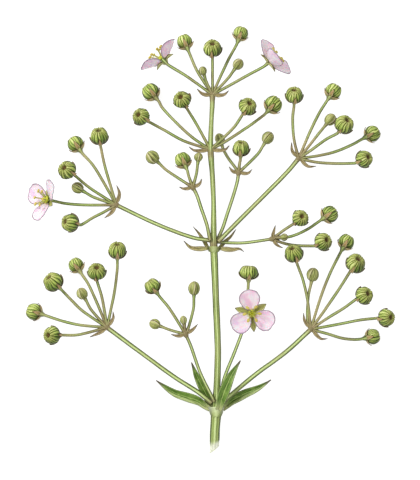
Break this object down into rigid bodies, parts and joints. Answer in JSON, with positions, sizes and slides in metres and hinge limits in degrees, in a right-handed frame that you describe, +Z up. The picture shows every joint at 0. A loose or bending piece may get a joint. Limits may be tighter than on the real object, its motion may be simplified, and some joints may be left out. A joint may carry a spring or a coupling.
{
  "type": "water plantain flowering stem",
  "caption": "Cut flowering stem of narrow-leaved water plantain: whorled branches carry umbels of round green fruiting heads, closed buds and pale pink three-petalled flowers.",
  "frame": {"origin": "middle of the whole stem in plan, on the surface that it lies on", "axes": "+Y from the cut end towards the top umbel, +X to the right of the plant as drawn, +Z up from the surface"},
  "size_m": [0.103, 0.1196, 0.0159],
  "materials": {
    "stem_green": "fibrous green plant stalk, satin",
    "head_green": "ridged green achenes, satin",
    "petal_pink": "thin pale pink petal, matte",
    "leaf_green": "leafy green bract, satin",
    "bract_tan": "drying tan-olive bract, matte"
  },
  "bodies": {
    "root": {"main_stem": "stem_green", "branch_upper_left": "stem_green", "branch_upper_left_inner": "stem_green", "branch_upper_right_inner": "stem_green", "branch_upper_right": "stem_green", "branch_right": "stem_green", "branch_lower_left": "stem_green", "branch_lower_left_inner": "stem_green", "branch_lower_right_inner": "stem_green", "branch_lower_right": "stem_green", "lower_bracts": "leaf_green", "middle_bracts": "bract_tan", "seed_head_top_1": "head_green", "seed_head_top_2": "head_green", "seed_head_top_3": "head_green", "seed_head_third_whorl_1": "head_green", "seed_head_third_whorl_2": "head_green", "seed_head_third_whorl_3": "head_green", "seed_head_third_whorl_4": "head_green", "seed_head_third_whorl_5": "head_green", "seed_head_upper_left_1": "head_green", "seed_head_upper_left_2": "head_green", "seed_head_upper_left_3": "head_green", "seed_head_upper_left_4": "head_green", "seed_head_upper_left_inner_1": "head_green", "seed_head_upper_right_inner_1": "head_green", "seed_head_upper_right_1": "head_green", "seed_head_upper_right_2": "head_green", "seed_head_upper_right_3": "head_green", "seed_head_upper_right_4": "head_green", "seed_head_upper_right_5": "head_green", "seed_head_right_1": "head_green", "seed_head_right_2": "head_green", "seed_head_right_3": "head_green", "seed_head_lower_left_1": "head_green", "seed_head_lower_left_2": "head_green", "seed_head_lower_left_3": "head_green", "seed_head_lower_left_4": "head_green", "seed_head_lower_left_5": "head_green", "seed_head_lower_left_6": "head_green", "seed_head_lower_left_inner_1": "head_green", "seed_head_lower_right_inner_1": "head_green", "seed_head_lower_right_1": "head_green", "seed_head_lower_right_2": "head_green", "seed_head_lower_right_3": "head_green", "seed_head_lower_right_4": "head_green", "seed_head_lower_right_5": "head_green", "seed_head_lower_right_6": "head_green", "petal_top_left_1": "petal_pink", "petal_top_left_2": "petal_pink", "petal_top_left_3": "petal_pink", "petal_top_right_1": "petal_pink", "petal_top_right_2": "petal_pink", "petal_top_right_3": "petal_pink", "petal_upper_left_1": "petal_pink", "petal_upper_left_2": "petal_pink", "petal_upper_left_3": "petal_pink", "petal_lower_right_1": "petal_pink", "petal_lower_right_2": "petal_pink", "petal_lower_right_3": "petal_pink"}
  },
  "joints": []
}
